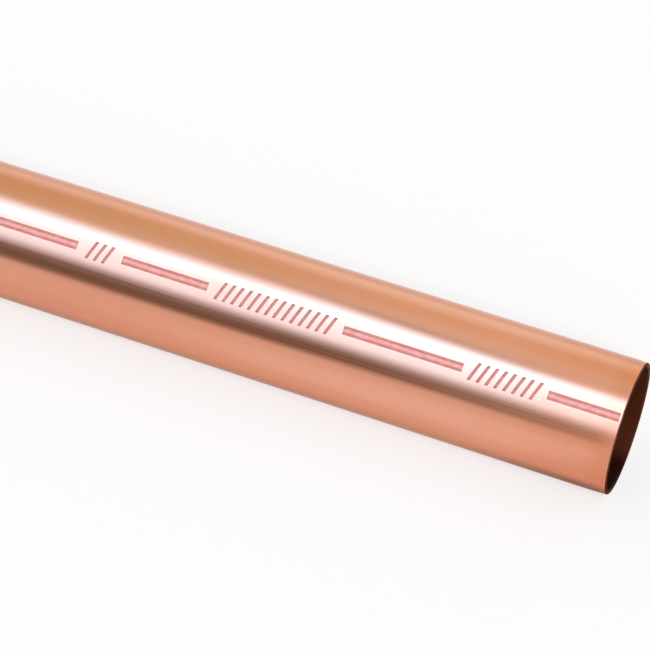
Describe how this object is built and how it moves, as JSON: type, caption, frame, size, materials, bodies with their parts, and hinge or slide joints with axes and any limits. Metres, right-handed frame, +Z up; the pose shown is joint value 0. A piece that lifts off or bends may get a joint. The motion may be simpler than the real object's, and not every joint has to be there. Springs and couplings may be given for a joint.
{
  "type": "straight copper tube",
  "caption": "Straight round thin-walled copper tube with an open bore and square-cut, deburred ends; raw stock for soldered water piping.",
  "frame": {"origin": "on the floor under the middle of the lying tube", "axes": "+X along the tube's axis, towards the open end that the picture shows; +Z up from the floor that the tube lies on"},
  "size_m": [0.6096, 0.0284, 0.0286],
  "materials": {
    "copper": "bright drawn copper, satin, with fine draw lines along the tube"
  },
  "bodies": {
    "root": {"copper_tube": "copper"}
  },
  "joints": []
}
